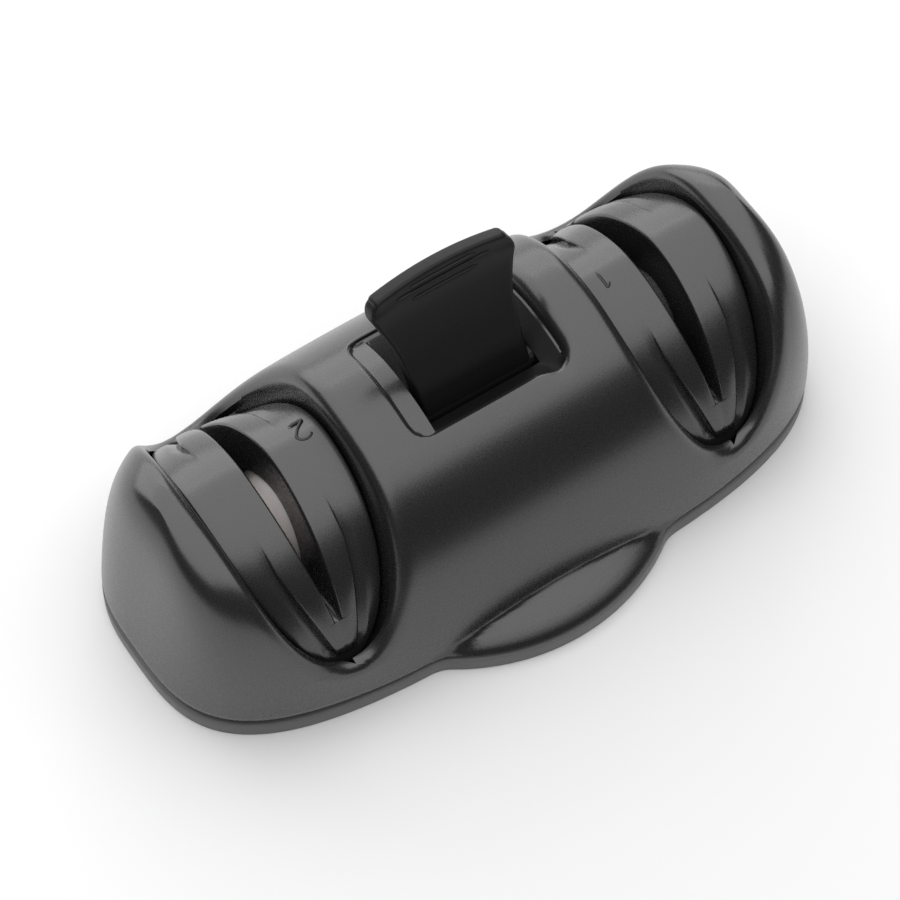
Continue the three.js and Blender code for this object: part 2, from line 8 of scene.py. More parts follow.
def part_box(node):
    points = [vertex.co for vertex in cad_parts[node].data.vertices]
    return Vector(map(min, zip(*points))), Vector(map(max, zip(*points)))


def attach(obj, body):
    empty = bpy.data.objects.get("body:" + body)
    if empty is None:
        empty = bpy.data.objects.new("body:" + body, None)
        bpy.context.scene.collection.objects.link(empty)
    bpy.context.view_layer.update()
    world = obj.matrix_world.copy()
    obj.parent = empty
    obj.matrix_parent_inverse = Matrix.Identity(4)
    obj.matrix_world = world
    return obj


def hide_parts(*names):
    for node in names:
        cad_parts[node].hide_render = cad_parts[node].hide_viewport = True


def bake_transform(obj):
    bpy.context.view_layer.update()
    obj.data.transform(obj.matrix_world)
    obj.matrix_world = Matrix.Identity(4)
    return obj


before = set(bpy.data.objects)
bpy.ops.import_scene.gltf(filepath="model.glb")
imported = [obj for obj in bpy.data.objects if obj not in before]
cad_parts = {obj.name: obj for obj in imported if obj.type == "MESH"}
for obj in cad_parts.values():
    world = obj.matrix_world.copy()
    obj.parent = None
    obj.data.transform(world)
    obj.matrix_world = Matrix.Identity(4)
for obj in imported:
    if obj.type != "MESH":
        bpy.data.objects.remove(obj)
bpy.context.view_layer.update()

# Upper shell: the black body with its raised middle barrel, two end caps and the domed round foot.
# One satin moulding in ABS, with a rounded edge round each horseshoe mouth and round the lever tray.
# It drops over the base plate and is held by four screws from below. All sizes are in mm.
HALF_LENGTH, HALF_DEPTH = 65.0, 31.2
FRONT_POWER, BACK_POWER = 3.4, 2.7              # superellipse powers of the plan
FRONT_SQUARE, BACK_SQUARE = 1.2, 0.7            # how much squarer the plan is at the crown
SHELL_Z, BARREL_TOP, BARREL_POWER = 3.8, 41.5, 2.1
CAP_TOP, CAP_POWER, CAP_RUN = 39.2, 2.8, 22.0
BACK_LEAN, CAP_BACK_LEAN = 5.8, 2.6
CAP_LEAN, CAP_LEAN_POWER, RIDGE_ROUND, RIDGE_POWER = 6.0, 1.1, 2.6, 14
STATION_X, MOUTH_HALF, MOUTH_LOW, MOUTH_HIGH = 38.09, 13.2, 13.7, 40.0
MOUTH_POWER, MOUTH_ROUND, WALL_BELOW = 1.45, 2.5, 0.3
FOOT_R, FOOT_BACK, DOME_TOP, DOME_NECK, DOME_POWER = 38.6, 34.7, 9.2, 28.0, 1.6
DOME_OVER, CREASE_ROUND, CREASE_FADE, CREASE_END = 2.0, 1.2, 4.0, 6.0
SEAM_TUCK, SEAM_HIGH, FLANGE = 0.5, 0.8, 2.6
BAND_TOP, BAND_HALF_DEPTH, BAND_POWER, BAND_SINK = 36.2, 27.2, 1.85, 0.9
INSERT_HALF, INSERT_LOW, INSERT_POWER = 12.9, 11.2, 1.3
GROOVE, GROOVE_WIDE, GROOVE_DEEP = 1.6, 0.4, 4.0
TRAY_HALF, TRAY_FRONT, TRAY_BACK, TRAY_CORNER = 14.9, -11.8, 10.4, 3.0
TRAY_ABOVE, TRAY_ROUND, TRAY_INSIDE = 33.0, 0.9, 0.02
SOFT_ROUND, SOFT_FROM, SOFT_RUN = 1.9, 8.0, 5.0  # the tray's right edge is rounder
SHELF_DEEP, SHELF_RUN, SCOOP_DEEP, SCOOP_RUN = 1.1, 0.4, 5.0, 3.7
BED_Z, BED_SLOPE = 33.7, 0.415                  # bed under the folded lever
HOLE_LEFT, HOLE_RIGHT, HOLE_FRONT, HOLE_BACK, HOLE_LOW = -11.4, 10.8, -8.2, -0.8, 30.0
HOLE_RIM, HOLE_SIDE, CAM_GAP = 11.4, 0.1, 4.2   # the hole's right rim lies on the scoop


def smooth(t):
    """Smoothstep: 0 below 0, 1 above 1, 3t^2 - 2t^3 between."""
    t = np.clip(t, 0, 1)
    return t * t * (3 - 2 * t)


def superellipse(t, power):
    """Second coordinate of a unit superellipse whose first one is t: (1 - t^power)^(1/power)."""
    return (1 - np.minimum(np.abs(t), 1) ** power) ** (1 / power)


def horseshoe(z, half, low, high, power):
    """Half width of a horseshoe at height z: half * sqrt(1 - drop^power), with drop from crown to foot."""
    drop = np.clip((high - z) / (high - low), 0, 1)
    return half * np.sqrt(np.maximum(1 - drop ** power, 0))


def mouth_distance(x, z):
    """Distance outside the mouth in the X,Z plane, to first order from the horseshoe's equation."""
    deep = MOUTH_HIGH - MOUTH_LOW
    across = np.abs(np.abs(x) - STATION_X) / MOUTH_HALF
    down = np.maximum(MOUTH_HIGH - z, 1e-6) / deep
    slope = np.hypot(2 * across / MOUTH_HALF, MOUTH_POWER * down ** (MOUTH_POWER - 1) / deep)
    return (across ** 2 + down ** MOUTH_POWER - 1) / np.maximum(slope, 1e-6)


def cap_share(x):
    """0 in the barrel, 1 in the end caps, with a smooth change across the stations."""
    return smooth((np.abs(x) - STATION_X + MOUTH_HALF) / CAP_RUN)


def back_lean(x, turn, rise):
    """How far the back leans in at a rise (0 base, 1 crown): lean * (1 - (1 - rise)^2); the front stays."""
    lean = BACK_LEAN + (CAP_BACK_LEAN - BACK_LEAN) * cap_share(x)
    return np.where(turn > 0.5, lean * (1 - (1 - rise) ** 2), 0)


def arch(turn, power):
    """Signed reach and rise of a superellipse arch; turn 0 is the front foot, 0.5 the crown, 1 the back."""
    c, s = np.cos(np.pi * turn), np.abs(np.sin(np.pi * turn))
    return -np.sign(c) * np.abs(c) ** (2 / power), s ** (2 / power)


def band_point(x, turn):
    """Sunk surface that the insert fills: an arch lower than the shell, whose feet keep under its plan."""
    reach, rise = arch(turn, BAND_POWER)
    plan = HALF_DEPTH * superellipse(x / HALF_LENGTH, FRONT_POWER)
    half = np.minimum(BAND_HALF_DEPTH, plan - BAND_SINK) - back_lean(x, turn, rise)
    return half * reach, SHELL_Z + (BAND_TOP - SHELL_Z) * rise


def fillet(d, r):
    """Depth of a rounded edge of radius r: nothing at distance r outside the edge, r at the edge."""
    u = np.clip(1 - d / r, 0, 1)
    return r * (1 - np.sqrt(1 - u * u))


def row_end(rise):
    """Half length of the level slice at a rise: the end walls lean in, and roll over at the ridge."""
    return HALF_LENGTH - CAP_LEAN * rise ** CAP_LEAN_POWER - RIDGE_ROUND * rise ** RIDGE_POWER


def loaf_point(x, turn):
    """Body before its edges are worked: level slices are superellipses, the section an arch that squares up
    in the caps; the domed round foot joins it by the larger reach, with a small rounded crease."""
    cap, front = cap_share(x), turn < 0.5
    reach, rise = arch(turn, BARREL_POWER + (CAP_POWER - BARREL_POWER) * cap)
    z = SHELL_Z + (BARREL_TOP + (CAP_TOP - BARREL_TOP) * cap - SHELL_Z) * rise
    square = np.where(front, FRONT_POWER + FRONT_SQUARE * rise, BACK_POWER + BACK_SQUARE * rise)
    lean = back_lean(x, turn, rise)
    wall = (HALF_DEPTH - lean) * np.abs(reach) * superellipse(x / row_end(rise), square)
    lift = np.clip((z - SHELL_Z) / (DOME_TOP - SHELL_Z), 0, 1)
    dome_r = FOOT_R - (FOOT_R - DOME_NECK) * lift ** DOME_POWER
    dome = np.sqrt(np.maximum(dome_r ** 2 - x ** 2, 0)) * np.where(front, 1, FOOT_BACK / FOOT_R)
    dome = np.maximum(dome - lean, 0) * (z < DOME_TOP + DOME_OVER)
    crease = np.maximum(CREASE_ROUND - np.abs(wall - dome), 0) ** 2 / (4 * CREASE_ROUND)
    fade = smooth((DOME_TOP + DOME_OVER - z) / CREASE_FADE) * smooth(dome / CREASE_END)
    wide = np.maximum(wall, dome) + crease * fade
    return np.where(front, -wide, wide), z


def tray_height(x, y, z):
    """Height with the lever tray sunk in: the distance to a rounded rectangle gives its edge's fillet; inside
    lie a shallow shelf at the left, a scoop at the right and in front, and a sloped bed behind the lever."""
    past_x = np.abs(x) - (TRAY_HALF - TRAY_CORNER)
    past_y = np.abs(y - (TRAY_FRONT + TRAY_BACK) / 2) - ((TRAY_BACK - TRAY_FRONT) / 2 - TRAY_CORNER)
    corner = np.hypot(np.maximum(past_x, 0), np.maximum(past_y, 0))
    outside = corner + np.minimum(np.maximum(past_x, past_y), 0) - TRAY_CORNER
    on_top, inside = z > TRAY_ABOVE, TRAY_INSIDE - outside
    r = TRAY_ROUND + SOFT_ROUND * smooth((x - SOFT_FROM) / SOFT_RUN)
    edge = z - fillet(outside, r) * on_top
    shelf = z - r - (SHELF_DEEP - r) * smooth(inside / SHELF_RUN)
    scoop = z - r - (SCOOP_DEEP - r) * np.clip(inside / SCOOP_RUN, 0, 1)
    scooped = (x > HOLE_RIGHT - HOLE_SIDE) | (y < HOLE_FRONT + HOLE_SIDE)
    bed = np.where(scooped, scoop, np.minimum(shelf, BED_Z + BED_SLOPE * y))
    sunk = np.where(x < HOLE_LEFT + HOLE_SIDE, shelf, bed)
    return np.where(on_top & (inside > 0), np.minimum(edge, sunk), edge)


def shell_point(x, turn):
    """Outer surface: the body with its edge rounded down into each mouth, the lever tray sunk in, and the
    lowest edge tucked in above the strip."""
    y, z = loaf_point(x, turn)
    normal_y, normal_z = y / HALF_DEPTH ** 2, (z - SHELL_Z) / BARREL_TOP ** 2
    depth = fillet(mouth_distance(x, z), MOUTH_ROUND) / np.maximum(np.hypot(normal_y, normal_z), 1e-9)
    y, z = y - depth * normal_y, z - depth * normal_z
    z = tray_height(x, y, z)
    tuck = SEAM_TUCK * np.clip(1 - (z - SHELL_Z) / SEAM_HIGH, 0, 1) ** 2
    return np.stack(np.broadcast_arrays(x * (1 - tuck / HALF_LENGTH), y * (1 - tuck / HALF_DEPTH), z), -1)


def patch(grid, flip=False, keep=None):
    """Points and quads of a grid of points, one quad to a cell; flip turns them over, keep masks cells."""
    rows, cols = grid.shape[:2]
    corner = np.arange(rows * cols).reshape(rows, cols)[:-1, :-1].reshape(-1, 1)
    quads = corner + np.array([0, 1, cols + 1, cols])
    quads = quads if keep is None else quads[keep.reshape(-1)]
    return grid.reshape(-1, 3), quads[:, ::-1] if flip else quads


def piece(name, *patches):
    """One mesh object from patches in mm; doubles merge so that seams and poles close, sharp folds stay."""
    faces, start = [], 0
    for points, cells in patches:
        faces += (cells + start).tolist()
        start += len(points)
    mesh = bpy.data.meshes.new(name)
    mesh.from_pydata((np.concatenate([points for points, _ in patches]) * 1e-3).tolist(), [], faces)
    bm = bmesh.new()
    bm.from_mesh(mesh)
    bmesh.ops.remove_doubles(bm, verts=bm.verts, dist=2e-6)
    bmesh.ops.dissolve_degenerate(bm, edges=bm.edges, dist=1e-7)
    bm.to_mesh(mesh)
    bm.free()
    mesh.polygons.foreach_set("use_smooth", np.ones(len(mesh.polygons), bool))
    mesh.set_sharp_from_angle(angle=np.radians(40))
    obj = bpy.data.objects.new(name, mesh)
    bpy.context.scene.collection.objects.link(obj)
    return obj


def face_centres(obj):
    """Centres of a piece's faces in mm."""
    centres = np.empty(len(obj.data.polygons) * 3)
    obj.data.polygons.foreach_get("center", centres)
    return centres.reshape(-1, 3) * 1e3


# Rows of the shell run from the front foot over the crown to the back foot; they crowd at the mouths' feet,
# where the edge turns sharply, and along the tray's edges.
MIRROR = np.array([-1.0, 1, 1])
EDGE_STEPS = np.array([-1.5, -1.2, -0.95, -0.7, -0.45, -0.25, -0.1, 0, 0.1, 0.2, 0.35, 0.6])
SEAM_STEPS = np.array([0, 0.05, 0.14, 0.27, 0.43, 0.62, 0.84, 1.08, 1.35, 1.65, 2.1, 2.8, 3.8, 5.0])
SCOOP_LINES = np.array([11.9, 12.7, 13.2, 13.7])
PLAIN_TO, STRETCH_FROM, STRETCH_TO, RIM_SHARE = 10.5, 16.6, 20.3, 0.6
section_turns = np.linspace(0, 1, 4001)
section_y, section_z = loaf_point(0.0, section_turns)
tray_y = np.concatenate([TRAY_FRONT + EDGE_STEPS, TRAY_BACK - EDGE_STEPS, [HOLE_FRONT, HOLE_BACK]])
tray_turns = np.interp(tray_y, section_y, section_turns)
foot_rise = (MOUTH_LOW - SHELL_Z) / (CAP_TOP - SHELL_Z)
mouth_turn = np.arcsin(foot_rise ** (BARREL_POWER / 2)) / np.pi
mouth_turns = np.concatenate([np.linspace(0, mouth_turn - 0.02, 20),
                              mouth_turn + np.linspace(-0.018, 0.03, 40),
                              mouth_turn + np.linspace(0.032, 0.09, 24)])
turns = np.concatenate([np.linspace(0, 1, 121), tray_turns, mouth_turns, 1 - mouth_turns])
turns = np.unique(np.round(turns, 5))[:, None]


def mouth_seam(side):
    """x of the mouth's edge on each row: station and half width at that height, by repeated halving."""
    x = np.full_like(turns, STATION_X + side * MOUTH_HALF)
    for _ in range(30):
        half = horseshoe(loaf_point(x, turns)[1], MOUTH_HALF, MOUTH_LOW, MOUTH_HIGH, MOUTH_POWER)
        x = (x + STATION_X + side * half) / 2
    return x


inner_seam, outer_seam = mouth_seam(-1), mouth_seam(1)
lines = np.unique(np.concatenate([np.linspace(0, PLAIN_TO, 22), np.linspace(STRETCH_FROM, 20, 8), SCOOP_LINES,
                                  TRAY_HALF - EDGE_STEPS, [HOLE_RIGHT, HOLE_RIM, -HOLE_LEFT]]))
run = np.broadcast_to(lines, (len(turns), len(lines)))
stretch = smooth((run - STRETCH_FROM) / (STRETCH_TO - STRETCH_FROM))
half_x = run + (inner_seam - SEAM_STEPS[-1] - STRETCH_TO) * stretch
half_x = np.concatenate([half_x, inner_seam - SEAM_STEPS[::-1]], 1)
barrel_x = np.concatenate([-half_x[:, :0:-1], half_x], 1)
barrel = shell_point(barrel_x, turns)
end_x = row_end(arch(turns, CAP_POWER)[1])
rim_x = outer_seam + SEAM_STEPS * np.minimum(1, RIM_SHARE * (end_x - outer_seam) / SEAM_STEPS[-1])
cap_x = rim_x[:, -1:] + (end_x - rim_x[:, -1:]) * np.sin(np.linspace(0, np.pi / 2, 53))[None, 1:]
cap = shell_point(np.concatenate([rim_x, cap_x], 1), turns)

# The lever's hole is left out of the barrel's grid; walls go down from its rim to two floors beside the cam.
left, right = np.searchsorted(barrel_x[0], [HOLE_LEFT - 1e-6, HOLE_RIM - 1e-6])
_, middle_y, middle_z = barrel[:, barrel.shape[1] // 2].T
hole_rows = np.flatnonzero((middle_z > HOLE_LOW) & (middle_y > HOLE_FRONT) & (middle_y < HOLE_BACK))
first, last = hole_rows[0], hole_rows[-1]
around_hole = np.ones((barrel.shape[0] - 1, barrel.shape[1] - 1), bool)
around_hole[first:last, left:right] = False
rim = np.concatenate([barrel[first, left:right], barrel[first:last, right], barrel[last, right:left:-1],
                      barrel[last:first - 1:-1, left]])
hole_wall = np.stack([rim, rim * np.array([1, 1, 0]) + np.array([0, 0, HOLE_LOW])])
hole_floors = [np.stack([*np.meshgrid(sides, [HOLE_FRONT, HOLE_BACK]), np.full((2, 2), HOLE_LOW)], -1)
               for sides in ((HOLE_LEFT, -CAM_GAP), (CAM_GAP, HOLE_RIGHT))]


def mouth_wall(edge, side):
    """Groove round the insert: ruled from the mouth's edge to a line just outside it, then inwards."""
    low = INSERT_LOW - GROOVE
    height = np.clip((edge[:, 2] - MOUTH_LOW) / (edge[:, 2].max() - MOUTH_LOW), 0, 1)
    z = low + (BAND_TOP - low) * height
    rise = np.minimum((z - SHELL_Z) / (BAND_TOP - SHELL_Z), 1)
    half = BAND_HALF_DEPTH - back_lean(STATION_X, turns[:, 0], rise)
    y = -np.sign(np.cos(np.pi * turns[:, 0])) * half * superellipse(rise, BAND_POWER)
    x = STATION_X + side * horseshoe(z, INSERT_HALF + GROOVE_WIDE, low, BAND_TOP, INSERT_POWER)
    seat = np.stack([x, y, z], -1)
    normal = np.stack([0 * x, y / BAND_HALF_DEPTH ** 2, (z - SHELL_Z) / BAND_TOP ** 2], -1)
    normal /= np.maximum(np.linalg.norm(normal, axis=1, keepdims=True), 1e-9)
    ruling = np.array([0, 0.35, 0.7, 1])[None, :, None]
    ruled = edge[:, None] + (seat - edge)[:, None] * ruling
    return np.concatenate([ruled, (seat - GROOVE_DEEP * normal)[:, None]], 1)


inner_wall, outer_wall = mouth_wall(barrel[:, -1], -1), mouth_wall(cap[:, 0], 1)
open_row = loaf_point(inner_seam, turns)[1][:, 0] > MOUTH_LOW - WALL_BELOW
walled = np.repeat((open_row[:-1] & open_row[1:])[:, None], inner_wall.shape[1] - 1, 1)
inset = np.array([1 - FLANGE / HALF_LENGTH, 1 - FLANGE / HALF_DEPTH, 1])
flanges = [patch(np.stack([grid[row], grid[row] * inset]), (row == 0) == flip)
           for grid, flip in ((barrel, True), (cap, True), (cap * MIRROR, False)) for row in (0, -1)]
shell = piece("upper_shell_skin", patch(barrel, True, around_hole), patch(cap, True), patch(cap * MIRROR),
              patch(hole_wall, True), *[patch(floor) for floor in hole_floors], *flanges,
              patch(inner_wall, True, walled), patch(inner_wall * MIRROR, False, walled),
              patch(outer_wall, False, walled), patch(outer_wall * MIRROR, True, walled))
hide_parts("upper_shell")
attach(shell, "housing")


def effect_group(name, inputs, outputs):
    """Empty shader node group with named sockets, and its input and output nodes."""
    group = bpy.data.node_groups.new(name, "ShaderNodeTree")
    for way, sockets in (("INPUT", inputs), ("OUTPUT", outputs)):
        for socket, kind in sockets.items():
            group.interface.new_socket(socket, in_out=way, socket_type="NodeSocket" + kind)
    return group, group.nodes.new("NodeGroupInput"), group.nodes.new("NodeGroupOutput")


def new_nodes(group, kinds):
    """New shader nodes of the given kinds."""
    return [group.nodes.new("ShaderNode" + kind) for kind in kinds]


def moulded_skin():
    """Moulded plastic's effect: a slow cloud varies the colour by an eighth, and a fine spark texture of the
    given scale varies the roughness and lifts the surface by the grain."""
    group, given, result = effect_group(
        "moulded_skin", {"Colour": "Color", "Roughness": "Float", "Grain": "Float", "Scale": "Float"},
        {"Base Color": "Color", "Roughness": "Float", "Normal": "Vector"})
    kinds = ("TexCoord", "TexNoise", "MapRange", "VectorMath", "TexNoise", "MapRange", "Math", "Bump")
    place, cloud, shade, tint, speck, spread, rough, bump = new_nodes(group, kinds)
    cloud.inputs["Scale"].default_value = 60
    cloud.inputs["Detail"].default_value = 3
    shade.inputs["To Min"].default_value = 0.88
    shade.inputs["To Max"].default_value = 1.12
    tint.operation = "SCALE"
    speck.inputs["Detail"].default_value = 2
    spread.inputs["To Min"].default_value = -0.05
    spread.inputs["To Max"].default_value = 0.05
    bump.inputs["Distance"].default_value = 0.0001
    link = group.links.new
    link(place.outputs["Object"], cloud.inputs["Vector"])
    link(place.outputs["Object"], speck.inputs["Vector"])
    link(given.outputs["Scale"], speck.inputs["Scale"])
    link(cloud.outputs["Fac"], shade.inputs["Value"])
    link(given.outputs["Colour"], tint.inputs["Vector"])
    link(shade.outputs["Result"], tint.inputs["Scale"])
    link(tint.outputs["Vector"], result.inputs["Base Color"])
    link(speck.outputs["Fac"], spread.inputs["Value"])
    link(given.outputs["Roughness"], rough.inputs[0])
    link(spread.outputs["Result"], rough.inputs[1])
    link(rough.outputs["Value"], result.inputs["Roughness"])
    link(given.outputs["Grain"], bump.inputs["Strength"])
    link(speck.outputs["Fac"], bump.inputs["Height"])
    link(bump.outputs["Normal"], result.inputs["Normal"])
    return group


def effect_material(name, group, shader_values, **effect_values):
    """Material with one effect group, whose outputs feed the shader's sockets of the same names."""
    material = bpy.data.materials.new(name)
    material.use_nodes = True
    tree = material.node_tree
    shader, effect = tree.nodes["Principled BSDF"], tree.nodes.new("ShaderNodeGroup")
    effect.node_tree = group
    for node, values in ((shader, shader_values), (effect, effect_values)):
        for socket, value in values.items():
            node.inputs[socket].default_value = (*value, 1) if isinstance(value, tuple) else value
    for output in effect.outputs:
        tree.links.new(output, shader.inputs[output.name])
    return material


def plastic(name, colour, rough, grain, scale, gloss=0.5):
    """Moulded plastic: gloss is the shader's specular level."""
    return effect_material(name, skin, {"Specular IOR Level": gloss}, Colour=colour, Roughness=rough,
                           Grain=grain, Scale=scale)


skin = moulded_skin()
SATIN_BLACK = (0.016, 0.016, 0.0172)
# Painted shade: faces deep in the lever tray's pocket, beside the lever's bed, get a darker and duller
# plastic than the rest of the one black moulding.
POCKET_IN, POCKET_DEEP, POCKET_BELOW = 0.3, 1.7, 1.0
centre_x, centre_y, centre_z = face_centres(shell).T
in_tray = ((np.abs(centre_x) < TRAY_HALF - POCKET_IN) & (centre_y > TRAY_FRONT + POCKET_IN)
           & (centre_y < TRAY_BACK - POCKET_IN))
beside_bed = (centre_x > HOLE_RIGHT - 2 * HOLE_SIDE) | (centre_y < HOLE_BACK + HOLE_SIDE)
skin_z = np.interp(centre_y, section_y, section_z)
deep = (centre_z > HOLE_LOW - POCKET_BELOW) & (centre_z < skin_z - POCKET_DEEP)
pocket = in_tray & beside_bed & (centre_x > HOLE_LEFT) & deep
shell.data.polygons.foreach_set("material_index", pocket.astype(int))
shell.data.materials.append(plastic("satin_black_moulding", SATIN_BLACK, 0.27, 0.06, 2600, 1.0))
shell.data.materials.append(plastic("pocket_painted_shade", (0.006, 0.006, 0.0065), 0.55, 0.3, 2000, 0.2))

# Station inserts: a recessed horseshoe band with two raised lips and a V slot that leads to the wheels.
# Moulded in black ABS, clipped in from inside behind the shell's mouth; a numeral marks each station.
# The lips are set off by a V crease that dies out at the crown; the slot opens on a window over the wheels.
INSERT_SKIRT, EDGE_IN, EDGE_TRIM = 4.0, 0.45, 4.0
LIP_WIDE, LIP_NARROW, LIP_FOOT, LIP_TURN, LIP_TAPER = 6.6, 1.9, 14.0, 29.5, 0.2
LIP_RAISE, LIP_SWELL, LIP_IN = 0.55, 0.12, 0.35
CREASE_WIDE, CREASE_DEEP, CREASE_SIDE, CREASE_SOFT, CREASE_SHARE = 2.3, 0.75, 0.3, 0.25, 0.85
CROWN_CLEAR, CROWN_FADE_FRONT, CROWN_FADE_BACK, LOW_CLEAR, LOW_FADE = 0.8, 13.0, 8.0, 1.0, 2.5
SLOT_HALF, SLOT_LOW_HALF, SLOT_FLOOR, SLOT_TOP, SLOT_ROUND = 2.5, 0.6, 19.8, 37.0, 0.4
FLOOR_FALL, FLOOR_LIP, FLOOR_OUT = 3.0, 1.5, 0.02
WHEEL_Z, WINDOW_R, WINDOW_WALL = 15.5, 11.1, 2.2
EDGE_BEND = np.array([(0, INSERT_SKIRT), (0, 0.45), (0.06, 0.2), (0.2, 0.06), (EDGE_IN, 0)])  # inset, drop
LIP_BEND = np.array([(0.16, 0.45), (0.04, 0.85), (-0.12, 0.97), (-LIP_IN, 1)])      # outset, share of rise
SLOT_BEND = np.array([(0.3, 0.03), (0.15, 0.12), (0.05, 0.27), (0, SLOT_ROUND)])    # outset, drop
STROKE_R, STROKE_FLAT, STROKE_UP = 0.3, 0.45, np.array([0, -0.45, 0.89])
NUMERAL_HALF, NUMERAL_SQUASH, NUMERAL_ABOVE = 2.6, 0.9, 0.02


def band_turn(z):
    """Turn at which the band's front is at height z: arcsin(rise^(power / 2)) over pi."""
    return np.arcsin(((z - SHELL_Z) / (BAND_TOP - SHELL_Z)) ** (BAND_POWER / 2)) / np.pi


foot_turn, floor_turn = band_turn(INSERT_LOW + 0.01), band_turn(SLOT_FLOOR)
rows = np.concatenate([foot_turn + (floor_turn - 1e-5 - foot_turn) * np.linspace(0, 1, 40) ** 1.7,
                       floor_turn + (0.5 - floor_turn) * np.linspace(0, 1, 70)])
rows = np.unique(np.concatenate([rows, 1 - rows]))[:, None]


def insert_profile():
    """Each row's distances from the station and offsets along the band's normal, from the skirt over band,
    crease and lip to the slot's edge; also a mask of the rows that the slot cuts."""
    z = band_point(STATION_X, rows)[1]
    edge = horseshoe(z, INSERT_HALF, INSERT_LOW, BAND_TOP, INSERT_POWER)
    lip = np.interp(z, [LIP_FOOT, LIP_TURN, BAND_TOP], [LIP_NARROW, LIP_WIDE - LIP_TAPER, LIP_WIDE])
    slotted = z >= SLOT_FLOOR - 1e-4
    slot = slotted * np.interp(z, [SLOT_FLOOR, SLOT_TOP], [SLOT_LOW_HALF, SLOT_HALF])
    fit = np.minimum(1, CREASE_SHARE * edge / (lip + CREASE_WIDE))
    trim = np.minimum(1, edge / EDGE_TRIM)
    fade = np.where(rows < 0.5, CROWN_FADE_FRONT, CROWN_FADE_BACK)
    show = smooth((BAND_TOP - CROWN_CLEAR - z) / fade) * smooth((z - LIP_FOOT + LOW_CLEAR) / LOW_FADE)
    rise, deep = LIP_RAISE * show, CREASE_DEEP * show
    flat_from, flat_to = edge - EDGE_IN * trim, (lip + CREASE_WIDE) * fit
    crest_from, crest_to = (lip - LIP_IN) * fit, slot + SLOT_ROUND * slotted
    flat, fall, crest = (np.linspace(0, 1, count)[1:] for count in (7, 9, 8))
    straight = (fall - CREASE_SOFT / 2) / (1 - CREASE_SOFT / 2)
    valley = np.where(fall < CREASE_SOFT, fall ** 2 / (2 * CREASE_SOFT), straight)
    across = [edge - EDGE_BEND[:, 0] * trim,
              flat_from + (flat_to - flat_from) * flat,
              (lip + CREASE_WIDE - (CREASE_WIDE - CREASE_SIDE) * fall) * fit,
              (lip + LIP_BEND[:, 0]) * fit,
              crest_from + (crest_to - crest_from) * crest,
              slot + SLOT_BEND[:, 0] * slotted]
    off = [0 * z - EDGE_BEND[:, 1],
           0 * z * flat,
           -deep * valley,
           -deep * (1 - LIP_BEND[:, 1]) + rise * LIP_BEND[:, 1],
           rise + LIP_SWELL * np.sin(np.pi * crest) * show,
           rise - SLOT_BEND[:, 1] * slotted]
    return np.concatenate(across, 1), np.concatenate(off, 1), slotted


def insert_side(side):
    """Half of an insert: the profile laid on the band, and the slot's wall, which runs towards the wheel axis
    and stops at the wheel window, where it turns back."""
    across, off, slotted = insert_profile()
    x = STATION_X + side * across
    y, z = (np.broadcast_to(value, x.shape) for value in band_point(x, rows))
    tall = BAND_TOP - SHELL_Z
    normal_y = np.sign(y) * (np.abs(y) / BAND_HALF_DEPTH) ** (BAND_POWER - 1) / BAND_HALF_DEPTH
    normal_z = ((z - SHELL_Z) / tall) ** (BAND_POWER - 1) / tall
    off = off / np.maximum(np.hypot(normal_y, normal_z), 1e-9)
    face = np.stack([x, y + off * normal_y, z + off * normal_z], -1)
    brink = face[:, -1:]
    reach = np.hypot(brink[..., 1], brink[..., 2] - WHEEL_Z)
    stop = np.where(slotted, np.clip(1 - WINDOW_R / reach, 0, 1), 0)[..., None]
    axis = brink * np.array([1, 0, 0]) + np.array([0, 0, WHEEL_Z])
    wall = brink + (axis - brink) * stop * np.linspace(0, 1, 9)[None, 1:, None]
    turned_back = wall[:, -1:] + np.array([side * WINDOW_WALL, 0, 0]) * slotted[..., None]
    return np.concatenate([face, wall, turned_back], 1)


def slot_floor(face_y, window_y):
    """Floor of the slot, falling from the insert's face to the wheel window, with a short lip turned down."""
    share = np.linspace(0, 1, 6)
    y = np.append(face_y + (window_y - face_y) * share, window_y)[:, None]
    z = SLOT_FLOOR - np.append(FLOOR_FALL * share, FLOOR_FALL + FLOOR_LIP)[:, None]
    x = STATION_X + np.linspace(-SLOT_LOW_HALF, SLOT_LOW_HALF, 5)
    return np.stack(np.broadcast_arrays(x, y, z), -1)


def band_height(y):
    """Height of the band's arch at y, without the lean of its back."""
    return SHELL_Z + (BAND_TOP - SHELL_Z) * superellipse(y / BAND_HALF_DEPTH, BAND_POWER)


def stroke(points):
    """Flattened round stroke: each point (x, y) is set on the band's arch with a ring of points round it."""
    path = np.column_stack([points, band_height(points[:, 1])])
    along = np.gradient(path, axis=0)
    along /= np.linalg.norm(along, axis=1, keepdims=True)
    side = np.cross(along, STROKE_UP)
    side /= np.linalg.norm(side, axis=1, keepdims=True)
    a = np.linspace(0, 2 * np.pi, 9)[None, :, None]
    ring = np.cos(a) * side[:, None] + STROKE_FLAT * np.sin(a) * np.cross(side, along)[:, None]
    ends = np.ones((len(path), 1, 1))
    ends[[0, -1]] = 0
    return path[:, None] + STROKE_R * ring * ends


